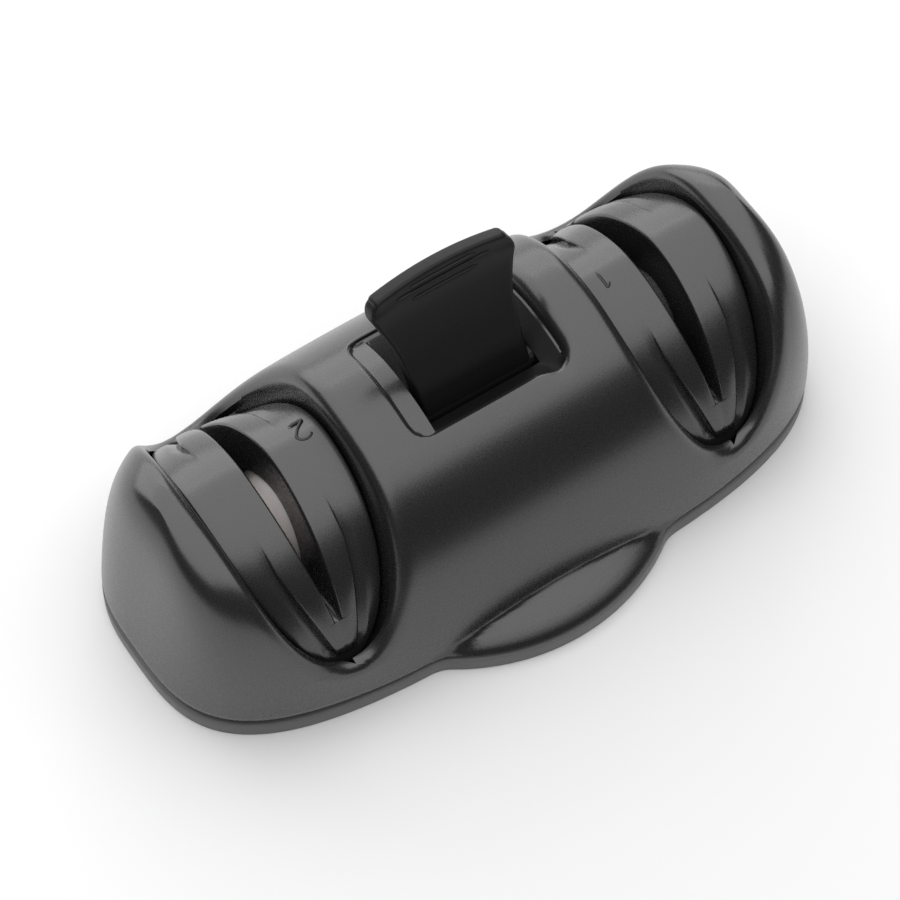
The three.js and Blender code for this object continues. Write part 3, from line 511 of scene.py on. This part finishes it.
bowl = np.radians(np.linspace(165, -38, 18))
TWO = np.concatenate([np.stack([1.3 * np.cos(bowl), 1.05 + 1.15 * np.sin(bowl)], -1),
                      [[0.4, -0.55], [-0.5, -1.35], [-1.3, -2.05], [-1.3, -2.1], [-0.4, -2.1], [0.6, -2.1],
                       [1.5, -2.1]]])
ONE = np.array([[-0.95, 1.2], [-0.45, 1.65], [0.05, 2.1], [0.1, 2.1], [0.1, 1], [0.1, 0], [0.1, -1],
                [0.1, -2.1]])
numeral_shadow = plastic("numeral_shadow", (0.009, 0.009, 0.0095), 0.4, 0.1, 2600, 0.6)
satin_insert = plastic("satin_black_insert", SATIN_BLACK, 0.27, 0.06, 2600, 1.0)
floor_ends = band_point(STATION_X, np.array([floor_turn, 1 - floor_turn]))[0]
front_tip, back_tip = floor_ends + (-FLOOR_OUT, FLOOR_OUT)
window_half = np.sqrt(WINDOW_R ** 2 - (SLOT_FLOOR - WHEEL_Z) ** 2)
for station, hand, glyph, mark_x, mark_y in (("coarse", 1, ONE, 29.2, -0.5), ("fine", -1, TWO, 28.6, 2.0)):
    turned = np.array([hand, 1.0, 1.0])
    numeral = (hand * mark_x, mark_y) - glyph * (1, NUMERAL_SQUASH)
    insert = piece(station + "_insert_moulding", patch(insert_side(1) * turned, hand < 0),
                   patch(insert_side(-1) * turned, hand > 0),
                   patch(slot_floor(front_tip, -window_half) * turned, hand > 0),
                   patch(slot_floor(back_tip, window_half) * turned, hand < 0), patch(stroke(numeral)))
    insert.data.materials.append(satin_insert)
    insert.data.materials.append(numeral_shadow)
    centres = face_centres(insert)
    near = np.abs(centres[:, :2] - (hand * mark_x, mark_y)).max(1) < NUMERAL_HALF
    raised = centres[:, 2] > band_height(centres[:, 1]) + NUMERAL_ABOVE
    insert.data.polygons.foreach_set("material_index", (near & raised).astype(int))
    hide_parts(station + "_insert")
    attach(insert, "housing")

# Lever: a flared paddle that stands up from the tray and folds back to draw the suction cup up.
# Matt black glass-filled nylon with an arched tip and three grip ribs, moulded in one with its hub and cam.
# It turns on a steel pin under the tray floor; the spiral slot of the cam lifts the pin of the cup's stem.
PIVOT_Y, PIVOT_Z, HUB_R, HUB_HALF, HUB_EDGE, HUB_BORE = -5.2, 34.2, 2.4, 10.4, 0.2, 2.1
BLADE = np.array([[-5.0, 33.6, 5.4, 10.4], [-4.2, 36.6, 4.8, 10.4], [-2.6, 40.5, 3.8, 10.5],
                  [0.5, 46.2, 3.0, 11.2], [3.2, 51.4, 2.8, 12.8], [4.6, 54.7, 3.2, 13.7],
                  [5.3, 57.1, 3.0, 13.2]])      # centre y, centre z, thickness and half width up the blade
BLADE_FROM, BLADE_TIP, BLADE_ROUND = 0.2, len(BLADE) - 1.0, 0.7
TIP_DROP, DROP_FROM, DROP_RUN, TIP_NARROW, NARROW_FROM, NARROW_RUN = 1.8, 2.5, 3.5, 2.0, 5.55, 0.9
RIBS = ((5.62, 6.4), (5.18, 9.0), (4.66, 6.4))  # place up the blade and half length
RIB_R, RIB_OUT, RIB_SINK, RIB_SPAN, RIB_POWER, RIB_ARC = 0.42, 0.9, 0.03, 0.28, 12, 0.25
CAM_REACH, CAM_LIFT, CAM_TURN, CAM_START, CAM_OVER = 10.5, 3.0, np.radians(42), -0.42, 0.55
CAM_HALF, CAM_SLOT, CAM_RIM, CAM_BORE = 3.6, 1.8, 2.2, 2.0


def blade_line(s):
    """Row of the blade's table at s: a uniform Catmull-Rom curve through its stations."""
    p = np.concatenate([2 * BLADE[:1] - BLADE[1:2], BLADE, 2 * BLADE[-1:] - BLADE[-2:-1]])
    i = np.clip(np.floor(s).astype(int), 0, len(BLADE) - 2)
    f = (s - i)[..., None]
    a, b, c, d = p[i], p[i + 1], p[i + 2], p[i + 3]
    square, cube = 2 * a - 5 * b + 4 * c - d, 3 * b - a - 3 * c + d
    return 0.5 * (2 * b + (c - a) * f + square * f ** 2 + cube * f ** 3)


def blade_place(s, x, out, arc=1.0):
    """Point of the blade at s, x across it and out in front of its centre sheet; the tip's corners drop by an
    arc that grows as x squared."""
    line, inside = blade_line(s), np.minimum(s, BLADE_TIP)
    tangent = (blade_line(inside + 1e-3) - blade_line(inside))[..., :2]
    tangent /= np.linalg.norm(tangent, axis=-1, keepdims=True)
    drop = arc * TIP_DROP * smooth((s - DROP_FROM) / DROP_RUN) * (x / BLADE[-2, 3]) ** 2
    y = line[..., 0] - drop * tangent[..., 0] - out * tangent[..., 1]
    z = line[..., 1] - drop * tangent[..., 1] + out * tangent[..., 0]
    return np.stack(np.broadcast_arrays(x, y, z), -1)


def blade_grid():
    """Rounded rectangle carried up the blade; its last rows roll over the tip and close on the middle."""
    s = np.concatenate([np.linspace(BLADE_FROM, 5.6, 70), np.linspace(5.65, BLADE_TIP, 10)])
    line, roll = blade_line(s), np.radians(np.linspace(0, 90, 8))[1:]
    cut, lift = BLADE_ROUND * np.append(1 - np.cos(roll), 1), BLADE_ROUND * np.append(np.sin(roll), 1)
    half = np.append(line[:, 2] / 2, line[-1, 2] / 2 - cut)[:, None]
    half[-1] = 0
    rise = np.append(0 * s, lift)[:, None, None]
    s = np.append(s, np.full_like(cut, BLADE_TIP))[:, None]
    narrow = TIP_NARROW * smooth((s - NARROW_FROM) / NARROW_RUN) ** 2
    wide = np.append(line[:, 3], line[-1, 3] - cut)[:, None] - narrow
    flat, arc = np.linspace(-1, 1, 41), np.radians(np.linspace(0, 90, 7))
    level, turn, c_arc, s_arc = 0 * flat, np.ones(7), np.cos(arc), np.sin(arc)
    r = np.minimum(BLADE_ROUND, half)
    x = (np.concatenate([flat, turn, turn, -flat, -turn, -turn]) * (wide - r)
         + np.concatenate([level, s_arc, c_arc, level, -s_arc, -c_arc]) * r)
    out = (np.concatenate([level + 1, turn, -turn, level - 1, -turn, turn]) * (half - r)
           + np.concatenate([level + 1, c_arc, -s_arc, level - 1, -c_arc, s_arc]) * r)
    grid = blade_place(s, x, out)
    before, tip = blade_line(np.array([BLADE_TIP - 0.02, BLADE_TIP]))[:, :2]
    grid[..., 1:] += rise * (tip - before) / np.linalg.norm(tip - before)
    return np.concatenate([grid, grid[:, :1]], 1)


def grip_rib(s, half):
    """Half-round rib across the blade's front face at s, running out to nothing at its ends."""
    x, a = np.linspace(-half, half, 41)[:, None], np.linspace(0, np.pi, 9)[None]
    size = RIB_R * np.sqrt(np.clip(1 - (np.abs(x) / half) ** RIB_POWER, 0, 1))
    front = blade_line(np.array([s]))[0, 2] / 2 - RIB_SINK
    out = front + RIB_OUT * size * np.sin(a)
    return blade_place(s + RIB_SPAN * size * np.cos(a), x + 0 * a, out, RIB_ARC)


def lathe_x(profile, y, z, around=96):
    """Profile of (x, radius) in mm turned about a line along X through (y, z)."""
    p, a = np.asarray(profile, float), np.linspace(0, 2 * np.pi, around + 1)
    return np.stack([p[:, :1] + 0 * a, y + p[:, 1:] * np.cos(a), z + p[:, 1:] * np.sin(a)], -1)


def cam_slab(start, end, low, high):
    """Block of the cam between two turns and two offsets from the slot's spiral, whose radius falls by the
    lift as the turn grows; with no low offset the block starts at the bore."""
    a = np.linspace(start, end, 30)[:, None]
    across, share = np.array([[-1, 0], [1, 0], [1, 1], [-1, 1], [-1, 0]]).T
    spiral = CAM_REACH - CAM_LIFT * a / CAM_TURN
    inside = np.full_like(a, CAM_BORE) if low is None else spiral + low
    r = inside + (spiral + high - inside) * share
    slab = np.stack([CAM_HALF * across + 0 * a, PIVOT_Y + r * np.sin(a), PIVOT_Z - r * np.cos(a)], -1)
    middle = slab[:, :4].mean(1, keepdims=True)
    return np.concatenate([0 * slab[:1] + middle[:1], slab, 0 * slab[:1] + middle[-1:]])


half_hub = [(HUB_HALF - HUB_EDGE, HUB_R), (HUB_HALF, HUB_R - HUB_EDGE), (HUB_HALF, HUB_BORE)]
hub = [(-x, r) for x, r in half_hub[::-1]] + half_hub
CAM_END = CAM_TURN + CAM_OVER
slot_start, slot_end = -CAM_SLOT / CAM_REACH, CAM_TURN + CAM_SLOT / (CAM_REACH - CAM_LIFT)
cam = [cam_slab(CAM_START, CAM_END, None, -CAM_SLOT),
       cam_slab(CAM_START, CAM_END, CAM_SLOT, CAM_SLOT + CAM_RIM),
       cam_slab(CAM_START, slot_start, -CAM_SLOT, CAM_SLOT),
       cam_slab(slot_end, CAM_END, -CAM_SLOT, CAM_SLOT)]
lever = piece("lever_paddle", patch(blade_grid()), *[patch(grip_rib(s, half)) for s, half in RIBS],
              patch(lathe_x(hub, PIVOT_Y, PIVOT_Z), True), *[patch(slab, True) for slab in cam])
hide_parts("lever")
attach(lever, "lever")
lever.data.materials.append(plastic("matt_black_nylon", (0.007, 0.007, 0.008), 0.42, 0.25, 1900, 0.28))

# Base plate: the grey strip under the shell, with the cup's pocket and the sunk screw holes below.
# Injection moulded in grey ABS; four screws hold it up into the shell and four more hold the wheel carriers.
STRIP_INSET, STRIP_TOP, STRIP_EDGE, STRIP_BEND, STRIP_LEDGE, POCKET_R = 0.0, 3.1, 0.25, 0.09, 3.2, 34.0
BASE_SCREW_X, SCREW_Y, SINK_R, SINK_DEEP, SHANK_HOLE = 55.09, 13.0, 3.3, 2.0, 1.6
SCREW_PLACES = [(kind, side * x, depth * SCREW_Y)
                for kind, x in (("base", BASE_SCREW_X), ("carrier", STATION_X))
                for side in (-1, 1) for depth in (-1, 1)]


def strip_outline(inset, a):
    """Plan outline at angle a: the larger of the long superellipse and the round foot, with a soft crease."""
    c, s, front = np.abs(np.cos(a)), np.abs(np.sin(a)), np.sin(a) < 0
    p = np.where(front, FRONT_POWER, BACK_POWER)
    long = ((c / (HALF_LENGTH - inset)) ** p + (s / (HALF_DEPTH - inset)) ** p) ** (-1 / p)
    round_foot = 1 / np.hypot(c / (FOOT_R - inset), s / (np.where(front, FOOT_R, FOOT_BACK) - inset))
    crease = np.maximum(CREASE_ROUND - np.abs(long - round_foot), 0) ** 2 / (4 * CREASE_ROUND)
    r = np.maximum(long, round_foot) + crease
    return r * np.cos(a), r * np.sin(a)


def lathe_z(profile, around=96, x=0.0, y=0.0):
    """Profile of (radius, z) in mm turned about the vertical line through (x, y)."""
    p, a = np.asarray(profile, float), np.linspace(0, 2 * np.pi, around + 1)
    return np.stack([x + p[:, :1] * np.cos(a), y + p[:, :1] * np.sin(a), p[:, 1:] + 0 * a], -1)


def within(points, loop):
    """True where a point lies in a closed loop: an odd number of its edges cross the ray to +x."""
    a, b, p = loop[None], np.roll(loop, -1, 0)[None], points[:, None]
    cross = (a[..., 1] > p[..., 1]) != (b[..., 1] > p[..., 1])
    with np.errstate(divide="ignore", invalid="ignore"):
        x = a[..., 0] + (p[..., 1] - a[..., 1]) * (b[..., 0] - a[..., 0]) / (b[..., 1] - a[..., 1])
    return np.sum(cross & (p[..., 0] < x), 1) % 2 == 1


def flat_face(outline, holes, z):
    """Flat patch at height z inside an outline and outside its holes: Delaunay triangles that face down."""
    loops = [outline, *holes]
    ends = np.cumsum([len(loop) for loop in loops])
    following = np.arange(ends[-1]) + 1
    following[ends - 1] = np.append(0, ends[:-1])
    edges = np.column_stack([np.arange(ends[-1]), following]).tolist()
    found, _, faces, *_ = delaunay_2d_cdt(list(map(Vector, np.concatenate(loops))), edges, [], 0, 1e-6)
    found, tri = np.array(found), np.array(faces)
    middle = found[tri].mean(1)
    in_hole = np.any([within(middle, hole) for hole in holes], axis=0)
    tri = tri[within(middle, outline) & ~in_hole]
    (bx, by), (cx, cy) = ((found[tri[:, k]] - found[tri[:, 0]]).T for k in (1, 2))
    upward = bx * cy - by * cx > 0
    tri[upward] = tri[upward][:, ::-1]
    return np.column_stack([found, np.full(len(found), z)]), tri


def circle(r, x=0.0, y=0.0, count=48):
    """Points round a circle in the plan."""
    a = np.linspace(0, 2 * np.pi, count, endpoint=False)
    return np.stack([x + r * np.cos(a), y + r * np.sin(a)], -1)


STRIP = [(STRIP_LEDGE, STRIP_TOP), (STRIP_EDGE, STRIP_TOP), (STRIP_BEND, STRIP_TOP - STRIP_BEND),
         (0, STRIP_TOP - STRIP_EDGE), (0, STRIP_EDGE), (STRIP_BEND, STRIP_BEND), (STRIP_EDGE, 0)]   # inset, z
ROOF = [(POCKET_R, 0), (POCKET_R, 2.1), (11, 5.85), (7, 9.6), (4.3, 9.6), (4.3, 11.8), (7, 11.8), (11, 8.1),
        (POCKET_R - 1, 4.3), (POCKET_R + 1, STRIP_TOP)]
SINK = [(SINK_R, 0), (SINK_R, SINK_DEEP), (SHANK_HOLE, SINK_DEEP), (SHANK_HOLE, STRIP_TOP)]
angles = np.linspace(0, 2 * np.pi, 481)
strip = np.stack([np.stack([*strip_outline(STRIP_INSET + inset, angles), 0 * angles + z], -1)
                  for inset, z in STRIP])
openings = [circle(POCKET_R, count=144)] + [circle(SINK_R, x, y) for _, x, y in SCREW_PLACES]
sinks = [patch(lathe_z(SINK, 48, x, y)) for _, x, y in SCREW_PLACES]
base = piece("base_plate_strip", patch(strip), flat_face(strip[-1, :-1, :2], openings, 0.0),
             patch(lathe_z(ROOF, 144), True), *sinks)
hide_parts("base_plate")
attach(base, "housing")
base.data.materials.append(plastic("satin_grey_strip", (0.13, 0.13, 0.135), 0.4, 0.3, 2200))

# Suction cup: a soft disc under the foot whose rim stays on the table while the stem draws its middle up.
# Compression moulded in black rubber with a thin feathered rim; its hub is bonded to the stem.
CUP = [(0.01, 0.0), (12, 0), (24, 0), (31, 0), (32.6, 0.05), (33.05, 0.25), (33.2, 0.6), (33.0, 0.95),
       (32.2, 1.1), (27, 1.65), (20, 2.42), (14, 3.06), (10.6, 3.45), (9.0, 3.75), (7.4, 4.5), (6.3, 5.1),
       (6.0, 5.4), (5.8, 5.8), (5.3, 6.0), (0.01, 6.0)]
cup = piece("suction_cup_rubber", patch(lathe_z(CUP, 144)))
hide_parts("suction_cup")
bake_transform(cup)
cup.data.materials.append(plastic("black_rubber", (0.02, 0.02, 0.021), 0.62, 0.5, 1400))

# Sharpening wheels: two cones to a station that face each other and make the V the blade is drawn through.
# Coarse wheels are steel with a diamond coat, fine wheels are white ceramic; each turns on a steel axle.
WHEEL = [(0.35, 2.3), (0.35, 4.6), (2.55, 10.38), (2.7, 10.5), (5.2, 10.5), (5.65, 10.35), (5.8, 9.9),
         (5.8, 2.3), (0.35, 2.3)]       # distance from the station, radius


def grit_cells():
    """Abrasive face's effect: cells at the size of the grain mix two tones and lift it by the depth."""
    group, given, result = effect_group(
        "grit_cells", {"Light": "Color", "Dark": "Color", "Scale": "Float", "Depth": "Float"},
        {"Base Color": "Color", "Normal": "Vector"})
    place, cells, tone, bump = new_nodes(group, ("TexCoord", "TexVoronoi", "Mix", "Bump"))
    tone.data_type = "RGBA"
    bump.inputs["Strength"].default_value = 0.5
    link = group.links.new
    link(place.outputs["Object"], cells.inputs["Vector"])
    link(given.outputs["Scale"], cells.inputs["Scale"])
    link(cells.outputs["Distance"], tone.inputs["Factor"])
    link(given.outputs["Light"], tone.inputs["A"])
    link(given.outputs["Dark"], tone.inputs["B"])
    link(tone.outputs["Result"], result.inputs["Base Color"])
    link(given.outputs["Depth"], bump.inputs["Distance"])
    link(cells.outputs["Distance"], bump.inputs["Height"])
    link(bump.outputs["Normal"], result.inputs["Normal"])
    return group


grit = grit_cells()
diamond = effect_material("diamond_grit", grit, {"Roughness": 0.55}, Light=(0.2, 0.2, 0.205),
                          Dark=(0.07, 0.07, 0.075), Scale=2500, Depth=0.0001)
ceramic = effect_material("white_ceramic", grit, {"Roughness": 0.5}, Light=(0.97, 0.93, 0.91),
                          Dark=(0.92, 0.86, 0.84), Scale=1800, Depth=0.00003)
for station, hand, abrasive in (("coarse", 1, diamond), ("fine", -1, ceramic)):
    for end, side in (("left", -1), ("right", 1)):
        node = f"{station}_wheel_{end}"
        cone = [(hand * STATION_X + side * x, r) for x, r in WHEEL]
        wheel = piece(node + "_cone", patch(lathe_x(cone, 0, WHEEL_Z, 128), side < 0))
        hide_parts(node)
        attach(wheel, node)
        wheel.data.materials.append(abrasive)

# Screws: eight cross-recess screws driven up from below, four into the shell, four into the wheel carriers.
# Zinc-plated steel, with pan heads that sit in the sunk holes of the base plate.
HEAD_R, HEAD_LOW, HEAD_HIGH, HEAD_EDGE, HEAD_BEND, SHANK_R, POINT = 3.0, 0.3, 1.7, 0.3, 0.09, 1.3, 1.2
CROSS_LONG, CROSS_WIDE, CROSS_DEEP = 2.0, 0.45, 0.8


def drawn_lines():
    """Turned or plated metal's effect: noise stretched into fine lines varies its colour and roughness."""
    group, given, result = effect_group("drawn_lines", {"Colour": "Color", "Roughness": "Float"},
                                        {"Base Color": "Color", "Roughness": "Float"})
    kinds = ("TexCoord", "Mapping", "TexNoise", "MapRange", "VectorMath", "MapRange", "Math")
    place, squeeze, streaks, shade, tint, spread, rough = new_nodes(group, kinds)
    squeeze.inputs["Scale"].default_value = (1, 12, 12)
    streaks.inputs["Scale"].default_value = 300
    shade.inputs["To Min"].default_value = 0.85
    tint.operation = "SCALE"
    spread.inputs["To Min"].default_value = -0.06
    spread.inputs["To Max"].default_value = 0.06
    link = group.links.new
    link(place.outputs["Object"], squeeze.inputs["Vector"])
    link(squeeze.outputs["Vector"], streaks.inputs["Vector"])
    link(streaks.outputs["Fac"], shade.inputs["Value"])
    link(given.outputs["Colour"], tint.inputs["Vector"])
    link(shade.outputs["Result"], tint.inputs["Scale"])
    link(tint.outputs["Vector"], result.inputs["Base Color"])
    link(streaks.outputs["Fac"], spread.inputs["Value"])
    link(given.outputs["Roughness"], rough.inputs[0])
    link(spread.outputs["Result"], rough.inputs[1])
    link(rough.outputs["Value"], result.inputs["Roughness"])
    return group


drawn = drawn_lines()
zinc = effect_material("zinc_plate", drawn, {"Metallic": 1}, Colour=(0.62, 0.63, 0.64), Roughness=0.32)
arm = np.array([(CROSS_LONG, CROSS_WIDE), (CROSS_WIDE, CROSS_WIDE), (CROSS_WIDE, CROSS_LONG)])
quarter = np.array([[0, 1], [-1, 0]])
cross = np.concatenate([arm @ np.linalg.matrix_power(quarter, count) for count in range(4)])
for kind, x, y in SCREW_PLACES:
    node = f"{kind}_screw_{'front' if y < 0 else 'back'}_{'left' if x < 0 else 'right'}"
    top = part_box(node)[1][2] * 1000
    recess = cross + (x, y)
    recess_rim = np.column_stack([np.concatenate([recess, recess[:1]]), np.full(len(recess) + 1, HEAD_LOW)])
    recess_wall = np.stack([recess_rim, recess_rim + (0, 0, CROSS_DEEP)])
    head = lathe_z([(HEAD_R - HEAD_EDGE, HEAD_LOW), (HEAD_R - HEAD_BEND, HEAD_LOW + HEAD_BEND),
                    (HEAD_R, HEAD_LOW + HEAD_EDGE), (HEAD_R, HEAD_HIGH), (SHANK_R, HEAD_HIGH),
                    (SHANK_R, top - POINT), (0.01, top)], 48, x, y)
    underside = flat_face(circle(HEAD_R - HEAD_EDGE, x, y), [recess], HEAD_LOW)
    recess_floor = flat_face(recess, [circle(0.02, x, y, 6)], HEAD_LOW + CROSS_DEEP)
    screw = piece(node + "_zinc", patch(head), underside, patch(recess_wall, True), recess_floor)
    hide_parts(node)
    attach(screw, "housing")
    screw.data.materials.append(zinc)

# Inner pieces: the wheel carriers and axles, the cup's stem and the two pins, which keep their CAD shapes.
# Carriers and stem are grey nylon; axles and the stem's pin are ground steel, the lever's pin is blackened.
nylon = plastic("grey_nylon", (0.045, 0.045, 0.048), 0.5, 0.3, 1800)
ground = effect_material("ground_steel", drawn, {"Metallic": 1}, Colour=(0.66, 0.67, 0.69), Roughness=0.22)
blackened = plastic("blackened_steel", (0.01, 0.01, 0.011), 0.5, 0.2, 1500, 0.3)
inner_finish = {"coarse_carrier": nylon, "fine_carrier": nylon, "cup_stem": nylon, "coarse_axle": ground,
                "fine_axle": ground, "stem_pin": ground, "lever_pin": blackened}
for name, material in inner_finish.items():
    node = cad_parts[name]
    node.data.materials.clear()
    node.data.materials.append(material)

# Stage: white paper under one broad overhead softbox, with a second one low behind the sharpener.
# A dim room fills in the rest; the camera looks down on the front left of the sharpener, as in the photo.
PAPER_HALF, ROOM_LIGHT = 3000.0, 0.05
CAMERA_FAR, CAMERA_RIGHT, CAMERA_UP, CAMERA_LENS, CAMERA_SENSOR = 607, -0.82, 4.35, 140.4, 36
scene = bpy.context.scene
corner_x, corner_y = np.meshgrid([-PAPER_HALF, PAPER_HALF], [-PAPER_HALF, PAPER_HALF], indexing="ij")
floor = piece("floor", patch(np.stack([corner_x, corner_y, 0 * corner_x], -1), True))
paper = bpy.data.materials.new("white_paper")
paper.use_nodes = True
paper.node_tree.nodes["Principled BSDF"].inputs["Base Color"].default_value = (0.93, 0.93, 0.93, 1)
paper.node_tree.nodes["Principled BSDF"].inputs["Roughness"].default_value = 0.9
floor.data.materials.append(paper)


def softbox(name, place, aim, size, power):
    """Area light at place (mm), facing aim, with a rectangular face of the given sides (mm)."""
    lamp = bpy.data.lights.new(name, "AREA")
    lamp.shape = "RECTANGLE"
    lamp.size, lamp.size_y = size[0] * 1e-3, size[1] * 1e-3
    lamp.energy = power
    obj = bpy.data.objects.new(name, lamp)
    obj.location = Vector(place) * 1e-3
    obj.rotation_euler = (Vector(aim) - Vector(place)).to_track_quat("-Z", "Y").to_euler()
    scene.collection.objects.link(obj)
    return obj


lights = [softbox("top_softbox", place=(0, 105, 640), aim=(0, 105, 0), size=(1400, 1390), power=9.5),
          softbox("back_softbox", place=(150, 1050, 430), aim=(0, 0, 60), size=(1700, 760), power=8)]
world = bpy.data.worlds.new("studio")
scene.world = world
world.use_nodes = True
world.node_tree.nodes["Background"].inputs["Color"].default_value = (1, 1, 1, 1)
world.node_tree.nodes["Background"].inputs["Strength"].default_value = ROOM_LIGHT
scene.view_settings.view_transform = "Standard"
to_right = Vector((0.832, -0.555, 0))
to_top = Vector((0.468, 0.702, 0.537))
to_eye = Vector((-0.298, -0.447, 0.843))
lens = bpy.data.cameras.new("camera")
lens.lens, lens.sensor_width = CAMERA_LENS, CAMERA_SENSOR
camera = bpy.data.objects.new("camera", lens)
eye = (to_eye * CAMERA_FAR + to_right * CAMERA_RIGHT + to_top * CAMERA_UP) * 1e-3
camera.matrix_world = Matrix.Translation(eye) @ Matrix((to_right, to_top, to_eye)).transposed().to_4x4()
scene.collection.objects.link(camera)
scene.camera = camera
